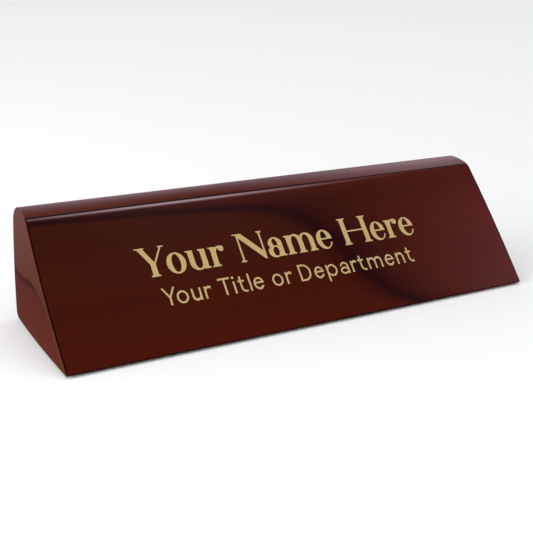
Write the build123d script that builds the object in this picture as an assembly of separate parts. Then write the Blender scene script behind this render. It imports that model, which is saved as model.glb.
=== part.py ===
"""A free-standing desk name plate: a long wedge of laminated board in rosewood facings, with a
rounded cap moulding along the top, gold-filled lettering on the sloping front and a felt pad below.

The part stands on Z = 0. X runs along the plate, the front faces -Y, and the origin is the middle
of the felt's underside. All sizes are in millimetres and angles in degrees.
"""
from build123d import *
import os
from dataclasses import dataclass
from math import cos, radians, sin, tan

# Overall sizes of the wooden wedge, and of the pad that it stands on
overall_length = 266.7
wood_depth = 73.0
wood_height = 58.0
front_slope = 47.0
felt_thickness = 0.9
glue_thickness = 0.1
felt_inset = 3.0

# Boards and facings
core_boards = ("lower", "middle", "upper")
core_board_thickness = 16.0
panel_thickness = 4.0
end_thickness = 3.0
end_crown_radius = 900.0
end_crown_height = 24.2
end_edge_radius = 0.5
back_heel_radius = 3.5
front_toe_radius = 0.6

# Cap moulding along the top, and the narrow groove (the quirk) below it
cap_back_radius = 9.0
cap_crest_from_back = 10.0
cap_lip_setback = 0.5
quirk_up_slope = 76.9
quirk_width = 0.4
quirk_depth = 1.6
shoulder_radius = 5.0
shoulder_turn = 27.0

# Engraved lettering, filled with gold paint to just below the face
engraving_depth = 0.30
fill_below_face = 0.05
cutter_above_face = 1.0
name_text = "Your Name Here"
name_length = 162.0
name_baseline = 39.0
title_text = "Your Title or Department"
title_length = 147.0
title_baseline = 23.8
lettering_centre = -5.0

# Places that follow from the sizes above
wood_bottom = felt_thickness + glue_thickness
wood_top = wood_bottom + wood_height
slope = radians(front_slope)
toe_rounding = front_toe_radius * (1 / tan(slope / 2) - 1)
front_y = -wood_depth / 2 - toe_rounding
shoulder_run = shoulder_radius * sin(radians(shoulder_turn))
shoulder_fall = shoulder_radius * (1 - cos(radians(shoulder_turn)))
back_y = wood_depth / 2
panel_length = overall_length - 2 * end_thickness
cap_bottom = wood_bottom + core_board_thickness * len(core_boards)
cross_section = Plane.YZ
front_face = Plane(
    origin=(0, front_y, wood_bottom), x_dir=(1, 0, 0), z_dir=(0, -sin(slope), cos(slope))
)


# ---- cross-sections: points are (Y, Z) --------------------------------------------------------

def on_front(up_slope, outward=0.0):
    """The point that lies up the sloping face from its bottom edge, and outward from it."""
    y = front_y + up_slope * cos(slope) - outward * sin(slope)
    z = wood_bottom + up_slope * sin(slope) + outward * cos(slope)
    return (y, z)


def behind_front_panel(z):
    """The point at height z on the front panel's inner face."""
    y = front_y + (z - wood_bottom) / tan(slope) + panel_thickness / sin(slope)
    return (y, z)


def front_panel_section():
    """A sloping board, eased at the desk and with a rounded shoulder along its top edge."""
    toe, back_edge = on_front(0), on_front(quirk_up_slope, -panel_thickness)
    shoulder_start = on_front(quirk_up_slope - shoulder_run)
    shoulder_end = on_front(quirk_up_slope, -shoulder_fall)
    outline = [
        Line(toe, shoulder_start),
        RadiusArc(shoulder_start, shoulder_end, shoulder_radius),
        Polyline(shoulder_end, back_edge, behind_front_panel(wood_bottom), toe),
    ]
    return rounded_at(make_face(Curve() + outline), toe, front_toe_radius)


def rounded_at(section, corner, radius):
    """The section with its corner nearest to a point rounded."""
    nearest = section.vertices().sort_by_distance((*corner, 0))[0]
    return fillet(nearest, radius)


def back_panel_section():
    """An upright board with a rounded heel."""
    inner_y = back_y - panel_thickness
    heel = (back_y, wood_bottom)
    board = Polygon(heel, (back_y, cap_bottom), (inner_y, cap_bottom), (inner_y, wood_bottom), align=None)
    return rounded_at(board, heel, back_heel_radius)


def core_board_section(number):
    """One board of the stack between the two panels, counted from the bottom."""
    low = wood_bottom + number * core_board_thickness
    high = low + core_board_thickness
    back = back_y - panel_thickness
    return Polygon((back, low), (back, high), behind_front_panel(high), behind_front_panel(low), align=None)


def cap_section():
    """The moulding: an upright back, a rounded top, and a rebate for the front panel's top edge."""
    crest_y = back_y - cap_crest_from_back
    round_start_y = back_y - cap_back_radius
    lip = on_front(quirk_up_slope + quirk_width, -cap_lip_setback)
    fall, reach = wood_top - lip[1], crest_y - lip[0]
    nose_radius = (reach**2 + fall**2) / (2 * fall)
    groove_floor = on_front(quirk_up_slope + quirk_width, -quirk_depth)
    groove_corner = on_front(quirk_up_slope, -quirk_depth)
    rebate_corner = on_front(quirk_up_slope, -panel_thickness)
    rebate_foot = behind_front_panel(cap_bottom)
    outline = [
        Line((back_y, cap_bottom), (back_y, wood_top - cap_back_radius)),
        RadiusArc((back_y, wood_top - cap_back_radius), (round_start_y, wood_top), -cap_back_radius),
        Line((round_start_y, wood_top), (crest_y, wood_top)),
        RadiusArc((crest_y, wood_top), lip, -nose_radius),
        Polyline(lip, groove_floor, groove_corner, rebate_corner, rebate_foot, (back_y, cap_bottom)),
    ]
    return make_face(Curve() + outline)


def groove_section():
    """The open space between the panel's shoulder and the cap's lip."""
    return Polygon(
        on_front(quirk_up_slope, -quirk_depth),
        on_front(quirk_up_slope + quirk_width, -quirk_depth),
        on_front(quirk_up_slope + quirk_width, -cap_lip_setback),
        on_front(quirk_up_slope, -shoulder_fall),
        align=None,
    )


def wedge_section():
    """The outline of the whole wedge, with the groove filled."""
    section = front_panel_section() + back_panel_section() + cap_section() + groove_section()
    for number in range(len(core_boards)):
        section += core_board_section(number)
    return section


# ---- lettering: letters stand on y = 0 with their left edge at x = 0 ---------------------------

@dataclass
class LetterStyle:
    """The strokes of one style of letter, in mm. A style with no serif has a serif of 0."""

    capital: float
    small: float
    stem: float
    hair: float
    thin_stem: float
    serif: float
    bracket: float
    round_width: float
    arch_pitch: float
    capital_width: float
    overshoot: float
    gap: float
    word_space: float


bold_roman = LetterStyle(
    capital=15.2, small=10.4, stem=2.75, hair=0.75, thin_stem=0.95, serif=1.05, bracket=1.1,
    round_width=10.0, arch_pitch=6.6, capital_width=15.6, overshoot=0.3, gap=1.0, word_space=6.0,
)
light_sans = LetterStyle(
    capital=8.9, small=6.3, stem=1.0, hair=0.92, thin_stem=1.0, serif=0.0, bracket=0.0,
    round_width=6.1, arch_pitch=4.0, capital_width=7.2, overshoot=0.1, gap=1.25, word_space=3.0,
)

# Proportions that the letters share
arch_rise = 0.42      # an arch's height, of a small letter's height
descent = 0.42        # what hangs below the line, of a small letter's height
branch_start = 0.3    # how far inside a stem a curve starts, of the stem
branch_width = 0.7    # a curve's stroke where it leaves a stem, of the stem
crown_weight = 1.25   # an arch's thickness at its crown, of a hairline
slab_weight = 0.7     # a serif's thickness, of a hairline


def bar(x0, y0, x1, y1):
    """A rectangle between two corners."""
    return Pos((x0 + x1) / 2, (y0 + y1) / 2) * Rectangle(x1 - x0, y1 - y0)


def oval(x0, y0, x1, y1):
    """An ellipse that fills the box between two corners."""
    return Pos((x0 + x1) / 2, (y0 + y1) / 2) * Ellipse((x1 - x0) / 2, (y1 - y0) / 2)


def ring(x0, y0, x1, y1, left, right, flat):
    """An oval band, left and right wide at its sides and flat wide at its top and bottom."""
    return oval(x0, y0, x1, y1) - oval(x0 + left, y0 + flat, x1 - right, y1 - flat)


def ordered(x0, y0, x1, y1):
    """The same box, with its lowest corner first."""
    return (min(x0, x1), min(y0, y1), max(x0, x1), max(y0, y1))


def serif(pen, edge, level, outward, upward):
    """A thin slab from a stem's edge, with a hollow bracket in the corner above or below it."""
    slab_end = edge + outward * pen.serif
    slab_side = level + upward * pen.hair * slab_weight
    far = (edge + outward * pen.bracket, slab_side + upward * pen.bracket)
    slab = bar(*ordered(edge, level, slab_end, slab_side))
    corner = bar(*ordered(edge, slab_side, *far)) - Pos(*far) * Circle(pen.bracket)
    inside = bar(*ordered(edge, slab_side, slab_end, far[1]))
    return slab + (corner & inside)


def stem(pen, x, low, high, foot="", head="", width=None):
    """An upright stroke. foot and head name the sides, l and r, that carry a serif."""
    width = width or pen.stem
    stroke = bar(x, low, x + width, high)
    if pen.serif == 0:
        return stroke
    for level, upward, sides in ((low, 1, foot), (high, -1, head)):
        for side in sides:
            edge, outward = (x, -1) if side == "l" else (x + width, 1)
            stroke += serif(pen, edge, level, outward, upward)
    return stroke


def arch(pen, x, upward=True):
    """Half an oval that springs from one stem at x to the next, over the top or under the foot."""
    rise = pen.small * arch_rise
    far = x + pen.arch_pitch + pen.stem
    inset = pen.stem * branch_start
    if upward:
        y0, y1 = pen.small + pen.overshoot - 2 * rise, pen.small + pen.overshoot
        half = bar(x, (y0 + y1) / 2, far, y1)
        sides = (pen.stem * branch_width, pen.stem)
        start, end = x + inset, far
    else:
        y0, y1 = -pen.overshoot, 2 * rise - pen.overshoot
        half = bar(x, y0, far, (y0 + y1) / 2)
        sides = (pen.stem, pen.stem * branch_width)
        start, end = x, far - inset
    return ring(start, y0, end, y1, *sides, pen.hair * crown_weight) & half


def springing(pen):
    """The height at which an arch of the small letters starts."""
    return pen.small + pen.overshoot - pen.small * arch_rise


def arched_letter(pen, arches):
    """n or m: stems with one or two arches between them."""
    letter = stem(pen, 0, 0, pen.small, foot="lr", head="l")
    for number in range(arches):
        x = number * pen.arch_pitch
        letter += arch(pen, x)
        letter += stem(pen, x + pen.arch_pitch, 0, springing(pen), foot="lr")
    return letter


def letter_n(pen):
    return arched_letter(pen, 1)


def letter_m(pen):
    return arched_letter(pen, 2)


def letter_u(pen):
    turn = pen.small - springing(pen)
    left = stem(pen, 0, turn, pen.small, head="l")
    right = stem(pen, pen.arch_pitch, 0, pen.small, foot="r", head="l")
    return left + arch(pen, 0, upward=False) + right


def letter_o(pen):
    top = pen.small + pen.overshoot
    return ring(0, -pen.overshoot, pen.round_width, top, pen.stem, pen.stem, pen.hair)


def letter_e(pen):
    width = pen.round_width * 0.92
    low, middle, top = -pen.overshoot, pen.small / 2, pen.small + pen.overshoot
    tail_thickness = pen.hair * 1.2
    mouth_left, mouth_low = width * 0.55, pen.small * 0.3
    upper = ring(0, low, width, top, pen.stem, pen.stem, pen.hair) & bar(0, middle, width, top)
    lower = ring(0, low, width, top, pen.stem, pen.thin_stem, tail_thickness)
    lower = (lower & bar(0, low, width, middle)) - bar(mouth_left, mouth_low, width, middle)
    crossbar = bar(pen.stem / 2, middle, width - pen.stem / 2, middle + pen.hair)
    return upper + lower + crossbar


def letter_a(pen):
    width = pen.round_width * 0.88
    stem_x = width - pen.stem
    shoulder, top = pen.small * 0.68, pen.small + pen.overshoot
    hook_start, hook_stroke = width * 0.1, pen.stem * 0.8
    bowl_top, bowl_return = pen.small * 0.6, pen.stem * 0.6
    hook = ring(hook_start, 2 * shoulder - top, width, top, hook_stroke, pen.stem, pen.hair)
    hook = hook & bar(hook_start, shoulder, width, top)
    bowl = ring(0, -pen.overshoot, stem_x + bowl_return, bowl_top, pen.stem, bowl_return, pen.hair)
    letter = hook + bowl + stem(pen, stem_x, 0, shoulder, foot="r")
    if pen.serif:
        ball = pen.stem / 2
        letter += Pos(hook_start + ball, shoulder) * Circle(ball)
    return letter


def letter_r(pen):
    top = pen.small + pen.overshoot
    start, far = pen.stem * branch_start, pen.arch_pitch + pen.stem
    low = top - 2 * pen.small * arch_rise
    crest = (start + far) / 2
    past_crest = 0.2 if pen.serif else 0.45
    ear_end = crest + (far - crest) * past_crest
    ear = ring(start, low, far, top, pen.stem * branch_width, pen.stem, pen.hair * crown_weight)
    letter = stem(pen, 0, 0, pen.small, foot="lr", head="l")
    letter += ear & bar(pen.stem / 2, springing(pen), ear_end, top)
    if pen.serif:
        ball = pen.stem * 0.55
        letter += Pos(ear_end, top - ball) * Circle(ball)
    return letter


def letter_p(pen):
    inset = pen.stem * branch_start
    bowl = ring(
        inset, -pen.overshoot, pen.round_width + inset, pen.small + pen.overshoot,
        pen.stem * branch_width, pen.stem, pen.hair,
    )
    return stem(pen, 0, -pen.small * descent, pen.small, foot="lr", head="l") + bowl


def letter_t(pen):
    hook_middle = pen.small * 0.42 - pen.overshoot
    reach = pen.stem + pen.small * 0.36
    hook_width = reach * 1.6
    tip = pen.small * 1.32
    cross_left, cross_right = -pen.stem, pen.stem * 2.5
    hook_top = 2 * hook_middle + pen.overshoot
    hook = ring(0, -pen.overshoot, hook_width, hook_top, pen.stem, pen.stem, pen.hair)
    hook = hook & bar(0, -pen.overshoot, reach, hook_middle)
    upright = bar(0, hook_middle, pen.stem, tip)
    return hook + upright + bar(cross_left, pen.small - pen.hair, cross_right, pen.small)


def letter_i(pen):
    dot = pen.stem * 0.65
    mark = Pos(pen.stem / 2, pen.capital - dot) * Circle(dot)
    return stem(pen, 0, 0, pen.small, foot="lr", head="l") + mark


def letter_l(pen):
    height = pen.capital * 1.02
    return stem(pen, 0, 0, height, foot="lr", head="l")


def capital_h(pen):
    width = pen.capital_width
    middle = pen.capital / 2
    letter = bar(pen.stem / 2, middle - pen.hair / 2, width - pen.stem / 2, middle + pen.hair / 2)
    for x in (0, width - pen.stem):
        letter += stem(pen, x, 0, pen.capital, foot="lr", head="lr")
    return letter


def capital_n(pen):
    width, top = pen.capital_width * 0.94, pen.capital
    heavy = pen.stem * 1.45
    run = width - pen.thin_stem
    rise_at_right = top * (heavy - pen.thin_stem) / run
    diagonal = Polygon(
        (run, 0), (width, 0), (width, rise_at_right), (heavy, top), (0, top), align=None
    )
    left_x = pen.stem * 0.35
    left_top = top * (1 - left_x / run)
    left = stem(pen, left_x, 0, left_top, foot="lr", width=pen.thin_stem)
    right = stem(pen, run, 0, top, head="lr", width=pen.thin_stem)
    slab = bar(-pen.serif, top - pen.hair * slab_weight, heavy, top)
    return diagonal + left + right + slab


def capital_y(pen):
    width, top = pen.capital_width * 0.98, pen.capital
    middle, fork = width / 2, pen.capital * 0.42
    left, right = middle - pen.stem / 2, middle + pen.stem / 2
    heavy = pen.stem * 1.1
    edge = pen.serif
    heavy_arm = Polygon((left, fork), (right, fork), (edge + heavy, top), (edge, top), align=None)
    thin_arm = Polygon(
        (right - pen.thin_stem, fork), (right, fork),
        (width - edge, top), (width - edge - pen.thin_stem, top), align=None,
    )
    letter = heavy_arm + thin_arm + stem(pen, left, 0, fork, foot="lr")
    if pen.serif:
        slab_low = top - pen.hair * slab_weight
        for x, arm in ((edge, heavy), (width - edge - pen.thin_stem, pen.thin_stem)):
            letter += bar(x - pen.serif, slab_low, x + arm + pen.serif, top)
    return letter


def capital_t(pen):
    width, top = pen.capital_width * 0.9, pen.capital
    crossbar = bar(0, top - pen.hair, width, top)
    return crossbar + stem(pen, (width - pen.stem) / 2, 0, top, foot="lr")


def capital_d(pen):
    width, top = pen.capital_width * 0.95, pen.capital
    bowl = width * 0.6
    outside = bar(0, 0, width - bowl, top) + oval(width - 2 * bowl, 0, width, top)
    hollow = oval(width - 2 * bowl + pen.stem, pen.hair, width - pen.stem, top - pen.hair)
    hollow += bar(pen.stem, pen.hair, width - bowl, top - pen.hair)
    return (outside & bar(0, 0, width, top)) - (hollow & bar(pen.stem, 0, width, top))


letter_shapes = {
    "Y": capital_y, "N": capital_n, "H": capital_h, "T": capital_t, "D": capital_d,
    "a": letter_a, "e": letter_e, "i": letter_i, "l": letter_l, "m": letter_m, "n": letter_n,
    "o": letter_o, "p": letter_p, "r": letter_r, "t": letter_t, "u": letter_u,
}
# Pairs that leave a hole between them are moved together by this share of the gap
closer_pairs = {"Yo": 1.6, "Ti": 0.6, "re": 0.4, "rt": 0.5, "r ": 0.3}


def line_of_letters(text, pen, length, baseline):
    """The letters of one line, spread to the given length and centred on the front face."""
    letters, cursor = [], 0.0
    for character, following in zip(text, text[1:] + " "):
        if character == " ":
            cursor += pen.word_space
            continue
        shape = letter_shapes[character](pen)
        box = shape.bounding_box()
        letters.append((cursor - box.min.X, shape))
        closing = closer_pairs.get(character + following, 0.0)
        cursor += box.size.X + pen.gap * (1 - closing)
    natural = cursor - pen.gap
    spread = length / natural
    start = lettering_centre - length / 2
    return [Pos(start + offset * spread, baseline) * shape for offset, shape in letters]


def laid_on_front(letters, depth, thickness):
    """Solids of the letters, from a depth below the front face up by a thickness."""
    plane = front_face.offset(-depth)
    return [solid for letter in letters for solid in extrude(plane * letter, amount=thickness).solids()]


# ---- the pieces --------------------------------------------------------------------------------

def along_plate(section, length):
    """A section carried along the plate, half its length each way from the middle."""
    return extrude(cross_section * section, amount=length / 2, both=True)


def front_panel(letter_rows):
    """The sloping panel, with the lettering engraved in its face."""
    panel = along_plate(front_panel_section(), panel_length)
    for letters in letter_rows:
        cutters = laid_on_front(letters, engraving_depth, engraving_depth + cutter_above_face)
        panel = panel - Compound(children=cutters)
    return panel


def gold_fill(letters):
    """The paint in one engraved line, a separate solid for each stroke that stands alone."""
    return Compound(children=laid_on_front(letters, engraving_depth, engraving_depth - fill_below_face))


def end_panel(side):
    """A plate over one end of the wedge, buffed to a slight crown, with its outer edges eased."""
    inner_plane = cross_section.offset(overall_length / 2 - end_thickness)
    plate = extrude(inner_plane * wedge_section(), amount=end_thickness)
    groove = extrude(inner_plane * groove_section(), amount=end_thickness)
    crown_middle = (overall_length / 2 - end_crown_radius, 0, end_crown_height)
    plate = plate & Pos(*crown_middle) * Sphere(end_crown_radius)
    outer_face = plate.faces().sort_by(Axis.X)[-1]
    plate = fillet(outer_face.edges(), end_edge_radius) - groove
    return plate if side == "right" else mirror(plate, about=Plane.YZ)


def pad_plate(thickness, bottom):
    """A thin sheet under the wedge, set in from its edges."""
    length = overall_length - 2 * (felt_inset + end_thickness)
    low_y = front_y + front_toe_radius + felt_inset
    high_y = back_y - back_heel_radius - felt_inset
    middle = (0, (low_y + high_y) / 2, bottom + thickness / 2)
    return Pos(*middle) * Box(length, high_y - low_y, thickness)


def all_pieces():
    """Every piece of the plate by name."""
    name_row = line_of_letters(name_text, bold_roman, name_length, name_baseline)
    title_row = line_of_letters(title_text, light_sans, title_length, title_baseline)
    pieces = {}
    for number, place in enumerate(core_boards):
        pieces[f"core_board_{place}"] = along_plate(core_board_section(number), panel_length)
    pieces["front_panel"] = front_panel((name_row, title_row))
    pieces["back_panel"] = along_plate(back_panel_section(), panel_length)
    pieces["cap_moulding"] = along_plate(cap_section(), panel_length)
    for side in ("left", "right"):
        pieces[f"{side}_end_panel"] = end_panel(side)
    pieces["name_line_gold_fill"] = gold_fill(name_row)
    pieces["title_line_gold_fill"] = gold_fill(title_row)
    pieces["felt_pad"] = pad_plate(felt_thickness, 0.0)
    pieces["felt_glue_film"] = pad_plate(glue_thickness, felt_thickness)
    return pieces


os.makedirs("parts", exist_ok=True)
for node, piece in all_pieces().items():
    export_step(piece, f"parts/{node}.step")
    print(node)
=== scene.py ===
from math import cos, radians, sin, tan

import bmesh
import bpy
import numpy as np
from mathutils import Matrix, Vector


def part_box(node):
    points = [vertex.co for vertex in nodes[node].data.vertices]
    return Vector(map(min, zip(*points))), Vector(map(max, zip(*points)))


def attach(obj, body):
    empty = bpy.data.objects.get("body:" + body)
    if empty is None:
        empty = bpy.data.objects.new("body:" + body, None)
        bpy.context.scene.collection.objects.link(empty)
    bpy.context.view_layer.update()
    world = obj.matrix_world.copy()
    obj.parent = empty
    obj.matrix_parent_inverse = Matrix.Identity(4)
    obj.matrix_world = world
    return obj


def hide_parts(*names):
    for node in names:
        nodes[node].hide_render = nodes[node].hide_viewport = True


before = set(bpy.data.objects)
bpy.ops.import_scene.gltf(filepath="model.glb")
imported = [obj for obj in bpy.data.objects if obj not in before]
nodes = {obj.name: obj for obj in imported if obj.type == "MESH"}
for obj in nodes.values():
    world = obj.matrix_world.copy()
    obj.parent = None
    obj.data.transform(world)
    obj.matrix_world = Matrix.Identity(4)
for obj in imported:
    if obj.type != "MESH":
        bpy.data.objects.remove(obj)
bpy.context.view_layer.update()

mm = 0.001
print("frame loaded:", len(nodes), "nodes")


# The wedge's curves, in millimetres and degrees; everything else about its place comes from the frame
wedge = {
    "slope": 47.0,
    "toeRadius": 0.6,
    "heelRadius": 3.5,
    "capBackRadius": 9.0,
    "crestFromBack": 10.0,
    "quirkUpSlope": 76.9,
    "quirkWidth": 0.4,
    "quirkDepth": 1.6,
    "shoulderRadius": 5.0,
    "shoulderTurn": 27.0,
    "lipSetback": 0.5,
    "panelThickness": 4.0,
    "crownRadius": 900.0,
    "crownHeight": 24.2,
    "edgeRadius": 0.5,
}
# How many points each part of the outline is drawn with, and the gaps left beside its roundings
outline = {
    "nosePoints": 40,
    "shoulderPoints": 12,
    "heelPoints": 24,
    "toePoints": 14,
    "facePoints": 30,
    "faceSpan": (2.0, 72.0),
    "backPoints": 16,
    "basePoints": 24,
    "heelGap": 5.0,
    "toeGap": 3.0,
    "stations": 9,
}
slope = radians(wedge["slope"])
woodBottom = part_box("core_board_lower")[0][2]
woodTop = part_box("cap_moulding")[1][2]
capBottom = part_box("cap_moulding")[0][2]
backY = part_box("back_panel")[1][1]
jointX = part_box("front_panel")[1][0]
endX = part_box("right_end_panel")[1][0]
# Where the face and the base would meet if the toe weren't rounded
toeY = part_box("front_panel")[0][1] - wedge["toeRadius"] * mm * (1 / tan(slope / 2) - 1)


# The point that lies up the sloping face from its sharp bottom edge, and outward from it
def onFront(upSlope, outward=0.0):
    y = toeY + (upSlope * cos(slope) - outward * sin(slope)) * mm
    z = woodBottom + (upSlope * sin(slope) + outward * cos(slope)) * mm
    return np.array([y, z])


# Points on a circle: centre + radius * (cos, sin) of evenly spaced angles
def arc(centre, radius, start, end, count):
    angle = np.radians(np.linspace(start, end, count))[:, None]
    return np.asarray(centre) + radius * mm * np.hstack([np.cos(angle), np.sin(angle)])


# The cap's outline (y, z) from the lip over the top and down the back
def capTop():
    count = outline["nosePoints"]
    lip = onFront(wedge["quirkUpSlope"] + wedge["quirkWidth"], -wedge["lipSetback"])
    crestY = backY - wedge["crestFromBack"] * mm
    fall, reach = woodTop - lip[1], crestY - lip[0]
    noseRadius = (reach**2 + fall**2) / (2 * fall)
    lipAngle = 90 + np.degrees(np.arcsin(reach / noseRadius))
    nose = arc((crestY, woodTop - noseRadius), noseRadius / mm, lipAngle, 90, count)
    r = wedge["capBackRadius"]
    back = arc((backY - r * mm, woodTop - r * mm), r, 90, 0, count)
    return np.vstack([nose, back])


# The shoulder along the top of the front panel, from the flat face round to the groove
def shoulderRound():
    r, turn = wedge["shoulderRadius"], wedge["shoulderTurn"]
    centre = onFront(wedge["quirkUpSlope"] - r * sin(radians(turn)), -r)
    start = 90 + wedge["slope"]
    return arc(centre, r, start, start - turn, outline["shoulderPoints"])


# The two corners at the bottom of the groove, the one below the shoulder first
def grooveFloor():
    start, width, depth = wedge["quirkUpSlope"], wedge["quirkWidth"], wedge["quirkDepth"]
    return onFront(start, -depth), onFront(start + width, -depth)


# The quarter circle where the back meets the base
def heelRound():
    r = wedge["heelRadius"]
    return arc((backY - r * mm, woodBottom + r * mm), r, 0, -90, outline["heelPoints"])


# The arc that joins the base to the sloping face
def toeRound():
    r = wedge["toeRadius"]
    centre = (toeY + r * mm / tan(slope / 2), woodBottom + r * mm)
    return arc(centre, r, -90, -270 + wedge["slope"], outline["toePoints"])


# Hands whole arrays to a mesh: points, then faces of four and closing faces of any length
def makeMesh(name, points, quads, closing=(), sharpAngle=30):
    mesh = bpy.data.meshes.new(name)
    faces = quads.tolist() + [list(face) for face in closing]
    mesh.from_pydata(points.tolist(), [], faces)
    mesh.validate()
    mesh.shade_smooth()
    mesh.set_sharp_from_angle(angle=radians(sharpAngle))
    obj = bpy.data.objects.new(name, mesh)
    bpy.context.scene.collection.objects.link(obj)
    smoothing = obj.modifiers.new("even shading", "WEIGHTED_NORMAL")
    smoothing.keep_sharp = True
    smoothing.weight = 100
    return obj


# Numbers the quads of a grid of rings, each ring closed on itself
def ringQuads(rings, around):
    row, col = np.meshgrid(np.arange(rings - 1), np.arange(around), indexing="ij")
    nextCol = (col + 1) % around
    low, high = row * around, (row + 1) * around
    return np.stack([low + col, low + nextCol, high + nextCol, high + col], -1).reshape(-1, 4)


# A closed section (y, z) carried along X: the point is (x, y, z) at each station
def runAlong(name, section, stations):
    rings, around = len(stations), len(section)
    x = np.repeat(stations, around)[:, None]
    points = np.hstack([x, np.tile(section, (rings, 1))])
    last = (rings - 1) * around
    closing = [range(around)[::-1], range(last, last + around)]
    return makeMesh(name, points, ringQuads(rings, around), closing)


# An sRGB hex colour as linear red, green, blue and alpha
def toLinear(hexColour):
    value = np.array([int(hexColour[i:i + 2], 16) for i in (1, 3, 5)]) / 255
    linear = np.where(value <= 0.04045, value / 12.92, ((value + 0.055) / 1.055) ** 2.4)
    return (*linear.tolist(), 1.0)


# Adds one node with its settings, and fills or links its inputs: each is a value or (node, output)
def addNode(tree, kind, settings=None, inputs=None):
    node = tree.nodes.new("ShaderNode" + kind)
    for key, value in (settings or {}).items():
        setattr(node, key, value)
    for key, value in (inputs or {}).items():
        socket = node.inputs[key]
        if isinstance(value, tuple) and isinstance(value[0], bpy.types.Node):
            tree.links.new(value[0].outputs[value[1]], socket)
        else:
            socket.default_value = value
    return node


def newMaterial(name):
    material = bpy.data.materials.new(name)
    material.use_nodes = True
    material.node_tree.nodes.clear()
    return material, material.node_tree


# A ramp's stops are (place, hex colour), or (place, grey value) where it shapes a factor
def setRamp(node, stops):
    elements = node.color_ramp.elements
    while len(elements) < len(stops):
        elements.new(0.5)
    for element, (place, colour) in zip(elements, stops):
        element.position = place
        element.color = toLinear(colour) if isinstance(colour, str) else (colour,) * 3 + (1.0,)


# A curve through points (place, value), the first and last being its ends
def setCurve(node, points):
    curve = node.mapping.curves[0]
    for place, value in points[1:-1]:
        curve.points.new(place, value)
    for point, (place, value) in zip(curve.points, points):
        point.location = (place, value)
        point.handle_type = "AUTO_CLAMPED"
    node.mapping.update()


# Rosewood veneer under many coats of polyester lacquer, rubbed and buffed: a dark red-brown figure
# seen deep under a clear glassy film that mirrors the room
rosewood = {
    "faceShades": ("#3A1009", "#3F1209", "#44140A"),
    # The cap's and the ends' shades are lighter copies of the face's: painted light, for the light
    # that falls on the top and the ends
    "capShadesPaintedLighter": ("#45140A", "#4A160B", "#4F190D"),
    "endShadesPaintedLighter": ("#49170B", "#4D190C", "#511B0E"),
    # Near black: painted shade in the grooves and a painted dark reflection along the edges
    "paintedDarkShades": ("#12040A", "#15050A", "#19060B"),
    "shadePlaces": (0.34, 0.50, 0.68),
    "figureWidth": {"x": 12.0, "z": 30.0},
    "figureRun": 150.0,
    "woodRoughness": 0.5,
    "lacquerRoughness": 0.03,
    "lacquerIor": 1.50,
    "rippleWidth": 34.0,
    "rippleDepth": 0.004,
}


# The figure: noise stretched along the grain, in three shades of wood
def woodFigure(tree, place, shades, grain):
    across, along = 1 / (rosewood["figureWidth"][grain] * mm), 1 / (rosewood["figureRun"] * mm)
    scale = {"x": (along, across, across), "z": (across, across, along)}[grain]
    stretched = addNode(tree, "Mapping", inputs={"Vector": (place, "Object"), "Scale": scale})
    figure = addNode(
        tree, "TexNoise",
        inputs={"Vector": (stretched, "Vector"), "Scale": 1.0, "Detail": 2.0, "Roughness": 0.5,
                "Distortion": 0.6},
    )
    colours = addNode(tree, "ValToRGB", inputs={"Fac": (figure, "Fac")})
    setRamp(colours, list(zip(rosewood["shadePlaces"], shades)))
    return (colours, "Color"), (figure, "Fac")


# A dark band of painted reflection, on the face partly a vein: how far a point lies across the band's
# middle line, in widths of the band, with the figure's noise added so that its edge wavers
def bandDistance(tree, axes, figure, band):
    share = addNode(
        tree, "MapRange",
        inputs={"Value": (axes, band["runAxis"]),
                "From Min": band["runFrom"], "From Max": band["runTo"]},
    )
    middle = addNode(tree, "FloatCurve", inputs={"Value": (share, "Result")})
    setCurve(middle, band["middle"])
    width = addNode(tree, "FloatCurve", inputs={"Value": (share, "Result")})
    setCurve(width, band["width"])
    across = addNode(
        tree, "MapRange",
        inputs={"Value": (axes, band["acrossAxis"]),
                "From Min": band["acrossFrom"], "From Max": band["acrossTo"]},
    )
    offset = addNode(
        tree, "Math", {"operation": "SUBTRACT"}, {0: (across, "Result"), 1: (middle, "Value")}
    )
    distance = addNode(
        tree, "Math", {"operation": "DIVIDE"}, {0: (offset, "Value"), 1: (width, "Value")}
    )
    waver = addNode(
        tree, "MapRange",
        inputs={"Value": figure, "From Min": 0.3, "From Max": 0.7,
                "To Min": -band["waver"], "To Max": band["waver"]},
    )
    return addNode(tree, "Math", inputs={0: (distance, "Value"), 1: (waver, "Result")})


# Lays painted light and shade over a wood colour: a slow change of shade up the piece, another shade
# beyond the band, and then the dark band itself, which on the face is partly the wood's vein
def addVeinAndReflection(tree, place, figure, colour, band):
    axes = addNode(tree, "SeparateXYZ", inputs={"Vector": (place, "Object")})
    height = addNode(
        tree, "MapRange", inputs={"Value": (axes, "Z"), "From Min": woodBottom, "From Max": woodTop}
    )
    rise = addNode(tree, "ValToRGB", inputs={"Fac": (height, "Result")})
    setRamp(rise, band["riseShades"])
    risen = addNode(
        tree, "Mix", {"data_type": "RGBA"},
        {"Factor": band["riseShare"], "A": colour, "B": (rise, "Color")},
    )
    distance = bandDistance(tree, axes, figure, band)
    spread = addNode(
        tree, "MapRange",
        inputs={"Value": (distance, "Value"), "From Min": -band["reach"], "From Max": band["reach"]},
    )
    beyond = addNode(tree, "ValToRGB", inputs={"Fac": (spread, "Result")})
    setRamp(beyond, band["beyond"])
    changed = addNode(
        tree, "Mix", {"data_type": "RGBA"},
        {"Factor": (beyond, "Color"), "A": (risen, "Result"), "B": toLinear(band["paintedLightShade"])},
    )
    dark = addNode(tree, "ValToRGB", inputs={"Fac": (spread, "Result")})
    setRamp(dark, band["darkness"])
    return addNode(
        tree, "Mix", {"data_type": "RGBA"},
        {"Factor": (dark, "Color"), "A": (changed, "Result"), "B": toLinear(band["shade"])},
    )


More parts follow.
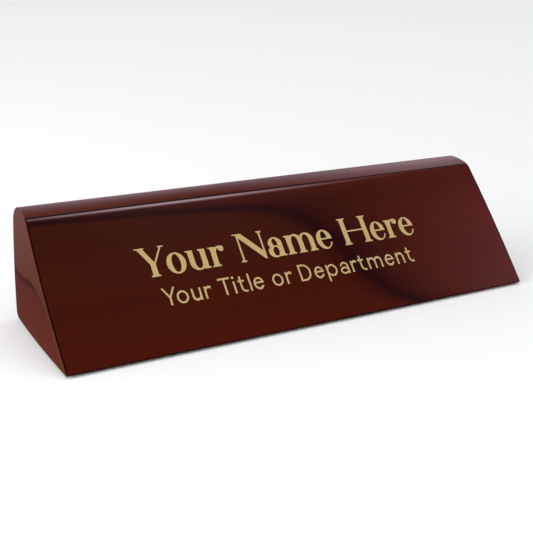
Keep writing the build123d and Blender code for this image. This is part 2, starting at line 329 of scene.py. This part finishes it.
# The wood is matt under a clear coat, and only the coat has the slow ripple of buffed lacquer
def rosewoodMaterial(name, shades, grain="x", band=None):
    material, tree = newMaterial(name)
    place = addNode(tree, "TexCoord")
    colour, figure = woodFigure(tree, place, shades, grain)
    if band:
        colour = (addVeinAndReflection(tree, place, figure, colour, band), "Result")
    ripple = addNode(
        tree, "TexNoise",
        inputs={"Vector": (place, "Object"), "Detail": 1.0,
                "Scale": 1 / (rosewood["rippleWidth"] * mm)},
    )
    bump = addNode(
        tree, "Bump",
        inputs={"Height": (ripple, "Fac"), "Strength": 1.0, "Distance": rosewood["rippleDepth"] * mm},
    )
    shader = addNode(
        tree, "BsdfPrincipled",
        inputs={
            "Base Color": colour,
            "Roughness": rosewood["woodRoughness"],
            "Specular IOR Level": 0.0,
            "Coat Weight": 1.0,
            "Coat Roughness": rosewood["lacquerRoughness"],
            "Coat IOR": rosewood["lacquerIor"],
            "Coat Normal": (bump, "Normal"),
        },
    )
    addNode(tree, "OutputMaterial", inputs={"Surface": (shader, "BSDF")})
    return material


# Gold paint wiped into the engraving and left to dry: a pale warm satin, streaked by the cutter's
# fine strokes up the slope, with a painted highlight: paler where it meets the walls of the cut
gold = {
    "paint": "#CAAE73",
    "streak": "#AD905A",
    # rim: the colour of the painted highlight along the letters' edges
    "rim": "#E4D094",
    "streakPlace": 0.15,
    "paintPlace": 0.75,
    "roughness": 0.5,
    "strokeSpacing": 0.9,
    "strokeSlant": 8.0,
    "highlightRimWidth": 0.35,
}
wavePeriod = 0.314  # of a wave texture whose scale is 1


def goldMaterial(name):
    material, tree = newMaterial(name)
    place = addNode(tree, "TexCoord")
    turn = (-slope, 0, radians(gold["strokeSlant"]))
    slanted = addNode(tree, "Mapping", inputs={"Vector": (place, "Object"), "Rotation": turn})
    strokes = addNode(
        tree, "TexWave", {"wave_type": "BANDS", "bands_direction": "X"},
        {"Vector": (slanted, "Vector"), "Scale": wavePeriod / (gold["strokeSpacing"] * mm),
         "Distortion": 1.5, "Detail": 1.0, "Detail Scale": 1.5},
    )
    colours = addNode(tree, "ValToRGB", inputs={"Fac": (strokes, "Fac")})
    setRamp(colours, [(gold["streakPlace"], gold["streak"]), (gold["paintPlace"], gold["paint"])])
    # Painted highlight: the rim colour goes where the bevelled normal turns away from the face's
    rounded = addNode(tree, "Bevel", {"samples": 6}, {"Radius": gold["highlightRimWidth"] * mm})
    geometry = addNode(tree, "NewGeometry")
    facing = addNode(
        tree, "VectorMath", {"operation": "DOT_PRODUCT"},
        {0: (rounded, "Normal"), 1: (geometry, "Normal")},
    )
    rim = addNode(
        tree, "MapRange", inputs={"Value": (facing, "Value"), "From Min": 1.0, "From Max": 0.9}
    )
    colour = addNode(
        tree, "Mix", {"data_type": "RGBA"},
        {"Factor": (rim, "Result"), "A": (colours, "Color"), "B": toLinear(gold["rim"])},
    )
    shader = addNode(
        tree, "BsdfPrincipled",
        inputs={"Base Color": (colour, "Result"), "Roughness": gold["roughness"]},
    )
    addNode(tree, "OutputMaterial", inputs={"Surface": (shader, "BSDF")})
    return material


# Fibreboard: pressed wood fibre, cut and left raw, a dry matt tan with darker flecks
fibreboard = {"shades": ("#77593A", "#8A6A48", "#977753"), "grainWidth": 1.2, "relief": 0.05,
              "roughness": 0.85, "sheen": 0.0}
# Contact adhesive: brushed on and dried, an amber film with brush marks and a dull gloss
adhesive = {"shades": ("#A99668", "#BBA97C", "#C9BA92"), "grainWidth": 3.0, "relief": 0.01,
            "roughness": 0.45, "sheen": 0.0}
# Wool felt: pressed fibre dyed dark brown, matt with a soft bloom. Its fibres are too fine to show,
# so it is drawn in clumps
felt = {"shades": ("#130C09", "#241812", "#3A291F"), "grainWidth": 2.2, "relief": 0.12,
        "roughness": 0.95, "sheen": 0.15}
mottlePlaces = (0.35, 0.5, 0.65)


# A mottled matt surface: noise of one grain width gives both its shades and its relief
def mottledMaterial(name, look):
    material, tree = newMaterial(name)
    place = addNode(tree, "TexCoord")
    mottle = addNode(
        tree, "TexNoise",
        inputs={"Vector": (place, "Object"), "Scale": 1 / (look["grainWidth"] * mm), "Detail": 4.0,
                "Roughness": 0.65},
    )
    colours = addNode(tree, "ValToRGB", inputs={"Fac": (mottle, "Fac")})
    setRamp(colours, list(zip(mottlePlaces, look["shades"])))
    bump = addNode(
        tree, "Bump",
        inputs={"Height": (mottle, "Fac"), "Strength": 1.0, "Distance": look["relief"] * mm},
    )
    shader = addNode(
        tree, "BsdfPrincipled",
        inputs={
            "Base Color": (colours, "Color"),
            "Roughness": look["roughness"],
            "Sheen Weight": look["sheen"],
            "Normal": (bump, "Normal"),
        },
    )
    addNode(tree, "OutputMaterial", inputs={"Surface": (shader, "BSDF")})
    return material


def plainMaterial(name, colour, roughness):
    material, tree = newMaterial(name)
    shader = addNode(
        tree, "BsdfPrincipled", inputs={"Base Color": toLinear(colour), "Roughness": roughness}
    )
    addNode(tree, "OutputMaterial", inputs={"Surface": (shader, "BSDF")})
    return material


# Fills a piece's slots, which also sets every face back to the first
def give(obj, *materials):
    obj.data.materials.clear()
    for material in materials:
        obj.data.materials.append(material)


def paintNode(name, material):
    for slot in nodes[name].material_slots:
        slot.material = material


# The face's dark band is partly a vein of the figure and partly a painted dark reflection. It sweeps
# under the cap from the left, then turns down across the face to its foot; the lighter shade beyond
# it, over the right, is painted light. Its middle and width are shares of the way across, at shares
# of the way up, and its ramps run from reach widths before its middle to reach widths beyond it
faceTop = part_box("front_panel")[1][2]
faceVeinAndReflection = {
    "runAxis": "Z", "acrossAxis": "X",
    "runFrom": woodBottom, "runTo": faceTop,
    "acrossFrom": -jointX, "acrossTo": jointX,
    "middle": [(0.0, 0.76), (0.10, 0.70), (0.32, 0.64), (0.50, 0.60), (0.65, 0.57),
               (0.78, 0.53), (0.86, 0.46), (0.91, 0.33), (0.95, 0.10), (1.0, -0.2)],
    "width": [(0.0, 0.045), (0.5, 0.045), (0.75, 0.055), (0.85, 0.075), (0.91, 0.11), (1.0, 0.17)],
    "waver": 0.25,
    "reach": 9.0,
    "shade": "#23080B",
    "darkness": [(0.0, 0.0), (0.42, 0.05), (0.465, 0.5), (0.50, 1.0),
                 (0.54, 0.65), (0.59, 0.3), (0.68, 0.0)],
    # Painted light: the lighter shade over the right of the face
    "paintedLightShade": "#541B16",
    "beyond": [(0.0, 0.0), (0.48, 0.0), (0.58, 0.1), (0.72, 0.3), (0.88, 0.65), (1.0, 1.0)],
    # Near-black first stops: a painted dark reflection along the toe; above them, darker towards the
    # top
    "riseShades": [(0.0, "#1A060A"), (0.014, "#1A060A"), (0.02, "#49150A"),
                   (0.35, "#401409"), (1.0, "#341409")],
    "riseShare": 0.7,
}
# The end's dark band is a painted reflection: it crosses level, and falls along the front edge as a
# fine line
endReflectionBand = {
    "runAxis": "Y", "acrossAxis": "Z",
    "runFrom": -backY, "runTo": backY,
    "acrossFrom": 0.0, "acrossTo": 60.0 * mm,
    "middle": [(0.0, -0.12), (0.06, 0.01), (0.157, 0.137), (0.322, 0.35), (0.38, 0.395),
               (0.47, 0.435), (0.56, 0.465), (0.65, 0.46), (0.72, 0.445), (0.85, 0.43),
               (0.95, 0.44), (1.0, 0.47)],
    "width": [(0.0, 0.006), (0.35, 0.008), (0.47, 0.012), (0.58, 0.028), (0.8, 0.035), (1.0, 0.03)],
    "waver": 0.2,
    "reach": 3.0,
    "shade": "#360703",
    "darkness": [(0.0, 0.0), (0.34, 0.0), (0.38, 1.0), (0.62, 1.0), (0.65, 0.0), (1.0, 0.0)],
    # Painted reflection: the browner shade above the band
    "paintedLightShade": "#532713",
    "beyond": [(0.0, 0.0), (0.50, 0.0), (0.56, 1.0)],
    # Painted light: lighter near the foot
    "riseShades": [(0.0, "#5E2311"), (0.4, "#4F1A0C"), (1.0, "#511F12")],
    "riseShare": 0.6,
}
longGrain = rosewoodMaterial("lacquered rosewood, long grain", rosewood["capShadesPaintedLighter"])
faceGrain = rosewoodMaterial("lacquered rosewood, veined face", rosewood["faceShades"], "x", faceVeinAndReflection)
endGrain = rosewoodMaterial("lacquered rosewood, upright grain", rosewood["endShadesPaintedLighter"], "z", endReflectionBand)
# Painted shade in the grooves and on the lip, and a painted dark reflection along the ends' front
# edges
paintedDarkLine = rosewoodMaterial("dark edge stain under lacquer", rosewood["paintedDarkShades"])
goldPaint = goldMaterial("gold paint")
print("materials made")


stations = np.linspace(-jointX, jointX, outline["stations"])


# Gives each quad of a grid its material slot, and the two closing faces one slot
def setFinish(obj, finish, closingSlot):
    slots = np.append(finish.ravel(), [closingSlot] * 2).astype(np.int32)
    obj.data.polygons.foreach_set("material_index", slots)


# Every new piece stands for its CAD node, which is hidden, and rides on the one body
def placed(obj, slot, *replaced):
    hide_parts(*replaced)
    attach(obj, "root")
    return obj


# The point at a height on the front panel's inner face
def behindFront(z):
    reach = (z - woodBottom) / tan(slope) + wedge["panelThickness"] * mm / sin(slope)
    return np.array([toeY + reach, z])


# The cap: its outline and the rebate under it, carried along X, with painted shade on the groove and
# lip
def makeCap():
    floorNear, floorFar = grooveFloor()
    rebate = onFront(wedge["quirkUpSlope"], -wedge["panelThickness"])
    foot = behindFront(capBottom)
    section = np.vstack([capTop(), [backY, capBottom], foot, rebate, floorNear, floorFar])
    obj = runAlong("lacqueredCap", section, stations)
    give(obj, longGrain, paintedDarkLine)
    wood, paintedDark = range(2)
    finish = np.full((len(stations) - 1, len(section)), wood, dtype=np.int32)
    finish[:, [-2, -1, 0]] = paintedDark  # painted shade on the groove's floor, its far wall and the lip
    setFinish(obj, finish, wood)
    return obj


# The back: a board with a rounded heel, its section carried along X
def makeBack():
    inner = backY - wedge["panelThickness"] * mm
    section = np.vstack([[backY, capBottom], heelRound(), [inner, woodBottom], [inner, capBottom]])
    return runAlong("lacqueredBack", section, stations)


# The whole end outline from the toe up the face, over the cap, down the back and along the base,
# and how many of its points belong to the face and to the shoulder
def endOutline():
    heelGap, toeGap = outline["heelGap"] * mm, outline["toeGap"] * mm
    front = onFront(np.linspace(*outline["faceSpan"], outline["facePoints"])).T
    down = np.linspace(capBottom, woodBottom + heelGap, outline["backPoints"])[:, None]
    back = np.hstack([np.full_like(down, backY), down])
    forward = np.linspace(backY - heelGap, toeY + toeGap, outline["basePoints"])[:, None]
    base = np.hstack([forward, np.full_like(forward, woodBottom)])
    shoulder = shoulderRound()
    floor = np.vstack(grooveFloor())
    rim = np.vstack([front, shoulder, floor, capTop(), back, heelRound(), base, toeRound()])
    return rim, len(front), len(shoulder)


# Unit vectors that point inward, square to an outline that runs clockwise
def inwardOf(rim):
    ahead = np.roll(rim, -1, 0) - rim
    behind = rim - np.roll(rim, 1, 0)
    ahead /= np.linalg.norm(ahead, axis=1)[:, None]
    behind /= np.linalg.norm(behind, axis=1)[:, None]
    run = ahead + behind
    run /= np.linalg.norm(run, axis=1)[:, None]
    return np.stack([run[:, 1], -run[:, 0]], 1)


endPlate = {
    "paintedDarkWidth": 0.45,
    "paintedDarkRings": 5,  # rings, counted from the inner edge, that the painted dark line covers
    "roundRings": 9,
    "closeIn": (0.9, 0.8, 0.65, 0.5, 0.35, 0.2, 0.08),
    "middle": (6.0, 24.0),  # the point (y, z) that the rings close in on
    "sharpAngle": 35,
}


# The end plate: its outline's rings roll over the edge and then close in on the middle over a
# face that is part of a large sphere: x = centre + sqrt(R^2 - y^2 - (z - zc)^2). The groove is
# filled flush by a straight bridge from the shoulder's edge to the cap's lip
def makeEnd(name, side):
    rim, faceCount, shoulderCount = endOutline()
    around = len(rim)
    edge = faceCount + shoulderCount - 1
    lip = edge + 3  # past the groove's two corners
    bridge = np.linspace(0, 1, lip - edge + 1)[:, None]
    filled = rim.copy()
    filled[edge:lip + 1] = rim[edge] + bridge * (rim[lip] - rim[edge])

    def faceX(flat):
        crown = wedge["crownRadius"] * mm
        y, z = flat[:, 0], flat[:, 1] - wedge["crownHeight"] * mm
        return endX - crown + np.sqrt(crown**2 - y**2 - z**2)

    radius = wedge["edgeRadius"] * mm
    inward = inwardOf(rim)
    roundX = faceX(rim + inward * radius) - radius
    rings = [np.column_stack([np.full(around, jointX), rim])]
    rings.append(np.column_stack([roundX - endPlate["paintedDarkWidth"] * mm, rim]))
    for turn in np.radians(np.linspace(0, 90, endPlate["roundRings"])):
        flat = rim + inward * radius * (1 - cos(turn))
        rings.append(np.column_stack([roundX + radius * sin(turn), flat]))
    middle = np.array(endPlate["middle"]) * mm
    for share in endPlate["closeIn"]:
        flat = middle + (filled - middle) * share
        rings.append(np.column_stack([faceX(flat), flat]))
    points = np.vstack(rings)
    quads = ringQuads(len(rings), around)[:, ::-1]
    last = (len(rings) - 1) * around
    closing = [range(around), range(last, last + around)[::-1]]
    if side < 0:
        points[:, 0] *= -1
        quads = quads[:, ::-1]
        closing = [face[::-1] for face in closing]
    obj = makeMesh(name, points, quads, closing, endPlate["sharpAngle"])
    give(obj, endGrain, faceGrain, longGrain, paintedDarkLine)
    plate, face, cap, paintedDark = range(4)
    darkRingCount = endPlate["paintedDarkRings"]
    finish = np.full((len(rings) - 1, around), plate, dtype=np.int32)
    finish[:darkRingCount] = cap
    finish[0, :edge + 1] = face
    # Painted dark line: a dark reflection along the front edge's rounding, and shade over the filled
    # groove
    finish[1:darkRingCount, :edge + 1] = paintedDark
    finish[:darkRingCount, edge:lip + 1] = paintedDark
    setFinish(obj, finish, plate)
    return obj


placed(makeEnd("leftEndPlate", -1), "rosewood_ends", "left_end_panel")
placed(makeEnd("rightEndPlate", 1), "rosewood_ends", "right_end_panel")
placed(makeCap(), "rosewood_cap", "cap_moulding")
back = placed(makeBack(), "rosewood_face", "back_panel")
give(back, longGrain)
print("cap, back and ends made")


feltPad = {
    "edgePoints": 6,
    "runPoints": 120,
    "widthPoints": 36,
    "loft": 0.04,
    "loftLength": 11.0,
    "mergeDistance": 0.001,
}


# The felt: a thin sheet whose upper and lower faces meet in a round edge all the way round. Half its
# thickness at a distance d from the edge is half * sqrt(1 - (1 - d / r)^2), and its lower face is
# slightly uneven, by a product of two sines
def makeFelt():
    low, high = (np.array(corner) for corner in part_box("felt_pad"))
    half = (high[2] - low[2]) / 2

    def spaced(start, end, count):
        turn = np.linspace(0, np.pi / 2, feltPad["edgePoints"], endpoint=False)
        ease = half * (1 - np.cos(turn))
        run = np.linspace(start + half, end - half, count)
        return np.concatenate([start + ease, run, end - ease[::-1]])

    xs = spaced(low[0], high[0], feltPad["runPoints"])
    ys = spaced(low[1], high[1], feltPad["widthPoints"])
    x, y = np.meshgrid(xs, ys, indexing="ij")
    edge = np.minimum.reduce([x - low[0], high[0] - x, y - low[1], high[1] - y])
    full = np.sqrt(np.clip(1 - (1 - np.clip(edge / half, 0, 1)) ** 2, 0, 1))
    wave = 2 * np.pi / (feltPad["loftLength"] * mm)
    uneven = feltPad["loft"] * mm * (1 + np.sin(wave * x) * np.sin(wave * y)) / 2 * full
    middle = (low[2] + high[2]) / 2
    upper = np.stack([x, y, middle + half * full], -1).reshape(-1, 3)
    lower = np.stack([x, y, middle - half * full + uneven], -1).reshape(-1, 3)
    rows, columns = x.shape
    row, col = np.meshgrid(np.arange(rows - 1), np.arange(columns - 1), indexing="ij")
    corner = (row * columns + col).ravel()
    top = np.stack([corner, corner + columns, corner + columns + 1, corner + 1], 1)
    quads = np.vstack([top, top[:, ::-1] + rows * columns])
    obj = makeMesh("feltPad", np.vstack([upper, lower]), quads)
    joined = bmesh.new()
    joined.from_mesh(obj.data)
    bmesh.ops.remove_doubles(joined, verts=joined.verts, dist=feltPad["mergeDistance"] * mm)
    joined.to_mesh(obj.data)
    joined.free()
    return obj


pad = placed(makeFelt(), "felt", "felt_pad")
give(pad, mottledMaterial("pressed wool felt", felt))
paintNode("front_panel", faceGrain)
for name in ("name_line_gold_fill", "title_line_gold_fill"):
    paintNode(name, goldPaint)
boardMaterial = mottledMaterial("medium density fibreboard", fibreboard)
for name in ("core_board_lower", "core_board_middle", "core_board_upper"):
    paintNode(name, boardMaterial)
paintNode("felt_glue_film", mottledMaterial("dried contact adhesive", adhesive))
print("felt made and frame painted")


# Degrees and millimetres, from the middle of the foot of the back
camera = {
    "azimuth": -29.56,
    "elevation": 17.787,
    "roll": 1.773,
    "distance": 530.277,
    "right": -5.764,
    "rise": 30.729,
    "lens": 64.17,
    "sensor": 36.0,
    "shiftX": 0.0497,
    "shiftY": -0.0872,
    "nearest": 10.0,
    "farthest": 50000.0,
}


def makeCamera():
    a, e, r = (radians(camera[key]) for key in ("azimuth", "elevation", "roll"))
    back = Vector((sin(a) * cos(e), -cos(a) * cos(e), sin(e)))
    right = Vector((cos(a), sin(a), 0))
    up = back.cross(right)
    right, up = right * cos(r) + up * sin(r), up * cos(r) - right * sin(r)
    data = bpy.data.cameras.new("camera")
    data.lens, data.sensor_width = camera["lens"], camera["sensor"]
    data.shift_x, data.shift_y = camera["shiftX"], camera["shiftY"]
    data.clip_start, data.clip_end = camera["nearest"] * mm, camera["farthest"] * mm
    obj = bpy.data.objects.new("camera", data)
    turn = Matrix((right, up, back)).transposed().to_4x4()
    eye = (back * camera["distance"] + right * camera["right"] + up * camera["rise"]) * mm
    obj.matrix_world = Matrix.Translation(eye + Vector((0, backY, woodBottom))) @ turn
    bpy.context.scene.collection.objects.link(obj)
    bpy.context.scene.camera = obj


makeCamera()


# White paper: uncoated and matt, it spreads what light falls on it and mirrors nothing
paper = {"half": 6.0, "colour": "#FCFCFC", "roughness": 0.9}


def makeFloor():
    mesh = bpy.data.meshes.new("floor")
    half = paper["half"]
    corners = [(-half, -half, 0), (half, -half, 0), (half, half, 0), (-half, half, 0)]
    mesh.from_pydata(corners, [], [(0, 1, 2, 3)])
    floor = bpy.data.objects.new("floor", mesh)
    bpy.context.scene.collection.objects.link(floor)
    give(floor, plainMaterial("matt white paper", paper["colour"], paper["roughness"]))
    floor.visible_glossy = False


# What the lacquer mirrors: a dim room with soft lights, each a patch of light at an azimuth and an
# elevation (azimuth 0 is in front of the plate, 90 beyond its right end), with its spread both ways
tent = {
    "radius": 1.5,
    "columns": 180,
    "rows": 90,
    "dim": 0.02,
    "tint": "#FFE5F4",
    "patches": [
        (108, 68, 34, 9, 7.0),
        (134, 22, 13, 18, 0.85),
        (122, 38, 10, 12, 0.70),
        (162, 10, 14, 36, 0.66),
        (63, 28, 9, 10, 0.66),
        (-164, -8, 40, 9, 0.30),
        (-163, -30, 40, 7, 0.08),
        (-152, 32, 22, 14, 2.0),
    ],
}


# Radiance at a direction = dim + sum of strength * exp(-(turn / spread)^2 - (rise / height)^2)
def makeTent():
    azimuth = np.linspace(-180, 180, tent["columns"], endpoint=False)
    elevation = np.linspace(-90, 90, tent["rows"])
    a, e = np.meshgrid(azimuth, elevation)
    glow = np.full(a.shape, tent["dim"])
    for middle, height, spread, tall, strength in tent["patches"]:
        turn = (a - middle + 180) % 360 - 180
        glow += strength * np.exp(-((turn / spread) ** 2) - ((e - height) / tall) ** 2)
    a, e = np.radians(a), np.radians(e)
    points = np.stack([np.sin(a) * np.cos(e), -np.cos(a) * np.cos(e), np.sin(e)], -1).reshape(-1, 3)
    mesh = bpy.data.meshes.new("lightTent")
    quads = ringQuads(tent["rows"], tent["columns"])
    mesh.from_pydata((points * tent["radius"]).tolist(), [], quads.tolist())
    layer = mesh.attributes.new("glow", "FLOAT", "POINT")
    layer.data.foreach_set("value", glow.ravel())
    obj = bpy.data.objects.new("lightTent", mesh)
    bpy.context.scene.collection.objects.link(obj)
    # Thin cloth lit from outside: it glows softly and unevenly, as each point's value says
    material, tree = newMaterial("lit tent cloth")
    shade = addNode(tree, "Attribute", {"attribute_name": "glow"})
    light = addNode(
        tree, "Emission", inputs={"Color": toLinear(tent["tint"]), "Strength": (shade, "Fac")}
    )
    addNode(tree, "OutputMaterial", inputs={"Surface": (light, "Emission")})
    material.cycles.emission_sampling = "NONE"
    give(obj, material)
    for kind in ("camera", "diffuse", "transmission", "volume_scatter", "shadow"):
        setattr(obj, "visible_" + kind, False)


# A soft light at an azimuth and elevation that faces the plate; it lights the wood under the
# lacquer and isn't mirrored, because the tent holds what is
sideLight = {"azimuth": -85, "elevation": 14, "distance": 1.1, "size": 0.8, "power": 9.0}
roomStrength = 0.92  # the plain white room that lights everything evenly


def makeSideLight():
    data = bpy.data.lights.new("sideLight", "AREA")
    data.shape = "DISK"
    data.size = sideLight["size"]
    data.energy = sideLight["power"]
    obj = bpy.data.objects.new("sideLight", data)
    a, e = radians(sideLight["azimuth"]), radians(sideLight["elevation"])
    out = Vector((sin(a) * cos(e), -cos(a) * cos(e), sin(e)))
    turn = out.to_track_quat("Z", "Y").to_matrix().to_4x4()
    obj.matrix_world = Matrix.Translation(out * sideLight["distance"]) @ turn
    bpy.context.scene.collection.objects.link(obj)
    obj.visible_glossy = False
    obj.visible_camera = False


def makeWorld():
    world = bpy.data.worlds.new("studio")
    world.use_nodes = True
    bpy.context.scene.world = world
    background = world.node_tree.nodes["Background"]
    background.inputs["Color"].default_value = (1, 1, 1, 1)
    background.inputs["Strength"].default_value = roomStrength
    world.cycles_visibility.glossy = False


makeFloor()
makeTent()
makeSideLight()
makeWorld()
bpy.context.scene.view_settings.view_transform = "Standard"

print("scene ready")
